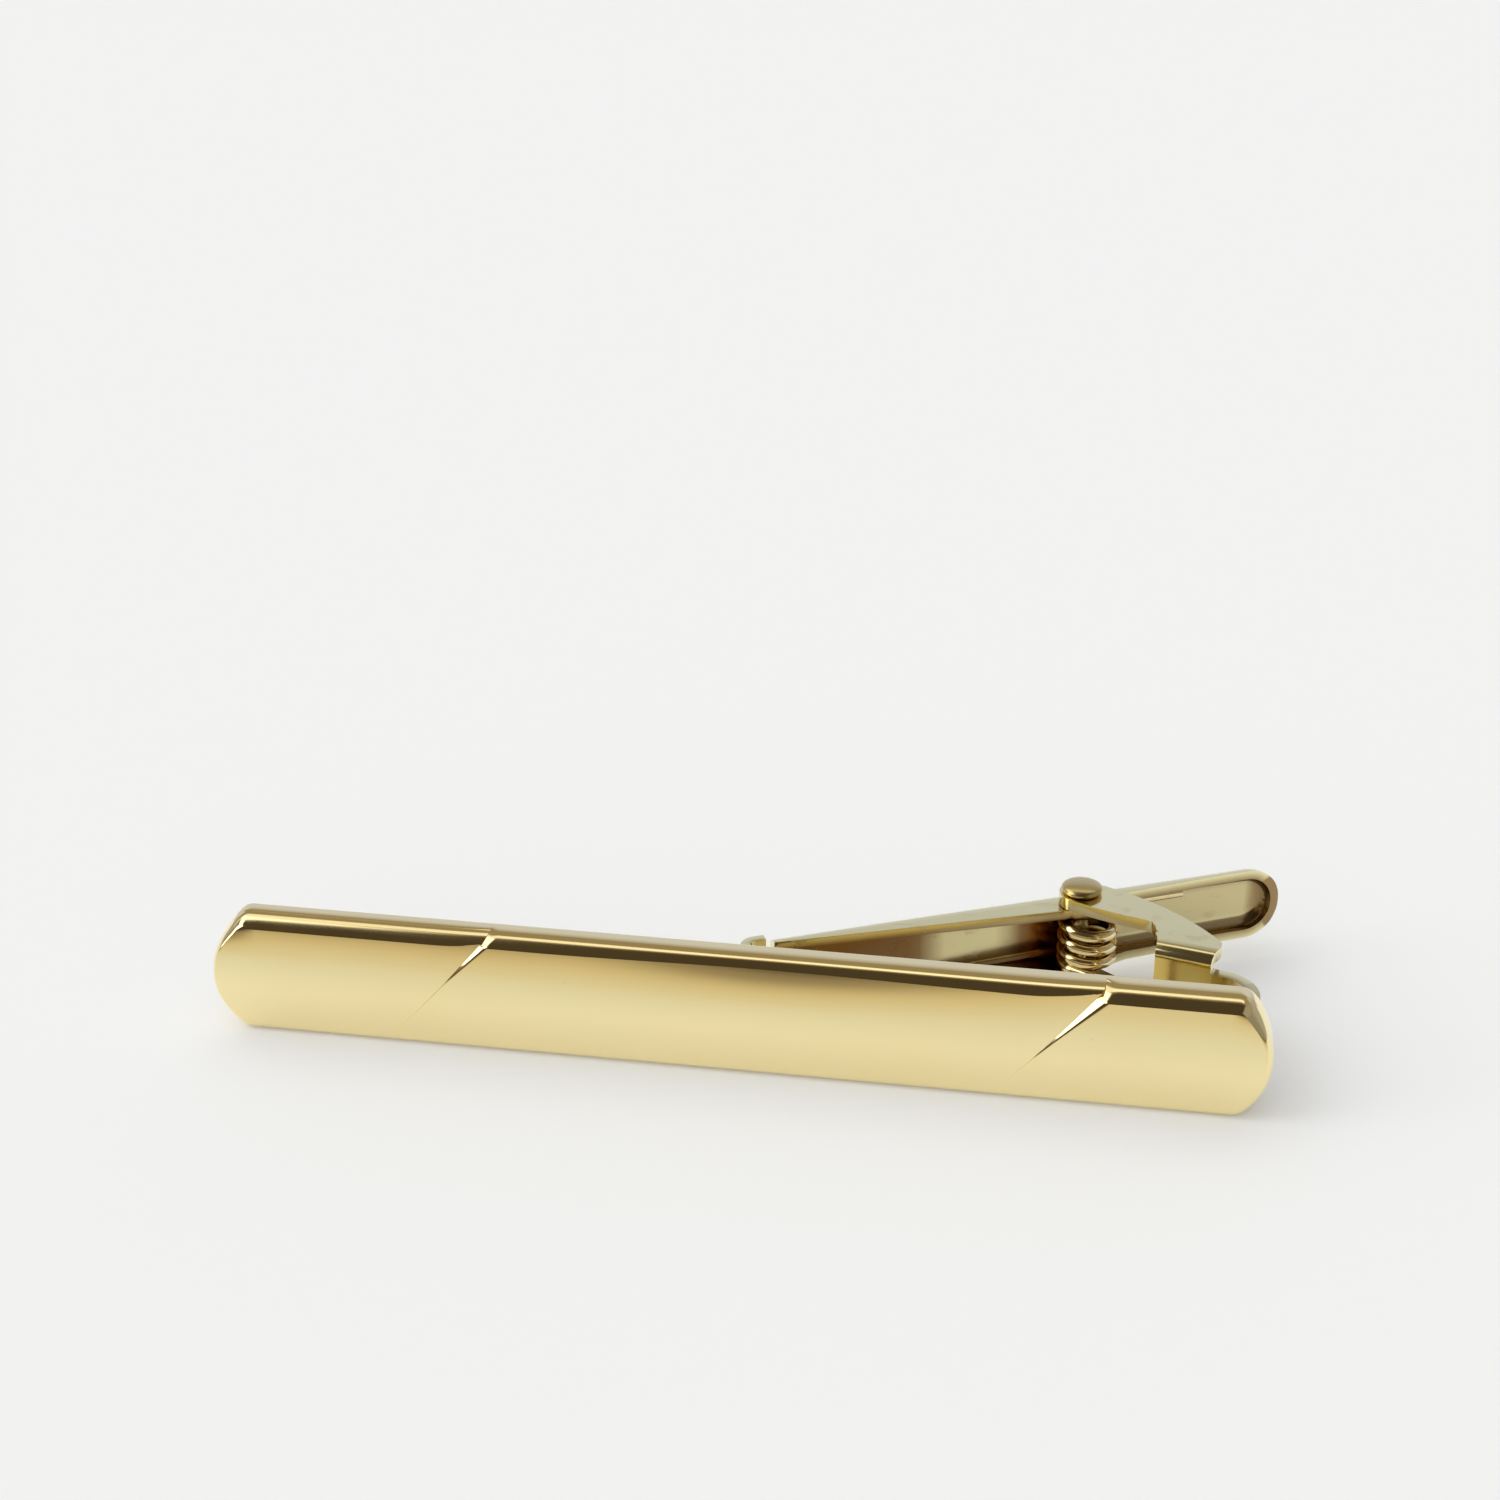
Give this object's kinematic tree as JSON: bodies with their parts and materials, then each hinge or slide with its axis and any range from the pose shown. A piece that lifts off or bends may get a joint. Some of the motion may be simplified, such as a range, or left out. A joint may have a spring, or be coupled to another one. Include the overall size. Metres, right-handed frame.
{
  "type": "sprung tie clip",
  "caption": "Tie clip: crowned front bar with two diagonal cuts, folded bracket, channel arm with thumb end, pivot rivet and torsion spring.",
  "frame": {"origin": "middle of the front bar's lower edge face, on which the clip lies", "axes": "+X along the front bar towards the pivot's end, +Y behind the bar, +Z across the bar's width and along the pivot"},
  "size_m": [0.0549, 0.0181, 0.0066],
  "materials": {
    "bar_gold": "polished pale gold plating",
    "bracket_gold": "pale gold plating on pressed sheet",
    "arm_gold": "pale gold plating on pressed sheet",
    "rivet_gold": "polished pale gold plating",
    "spring_gold": "pale gold plating on spring wire"
  },
  "bodies": {
    "base": {"front_bar": "bar_gold", "bracket": "bracket_gold", "pivot_rivet": "rivet_gold", "torsion_spring": "spring_gold"},
    "arm": {"clip_arm": "arm_gold"}
  },
  "joints": [
    {"name": "arm_pivot", "type": "hinge", "parent": "base", "child": "arm", "pos_m": [0.01714, 0.00987, 0.0033], "axis": [0, 0, -1], "range_deg": [0, 64], "stiffness_Nm_per_rad": 0.006, "springref_deg": -28.65, "deforming": ["torsion_spring"]}
  ]
}
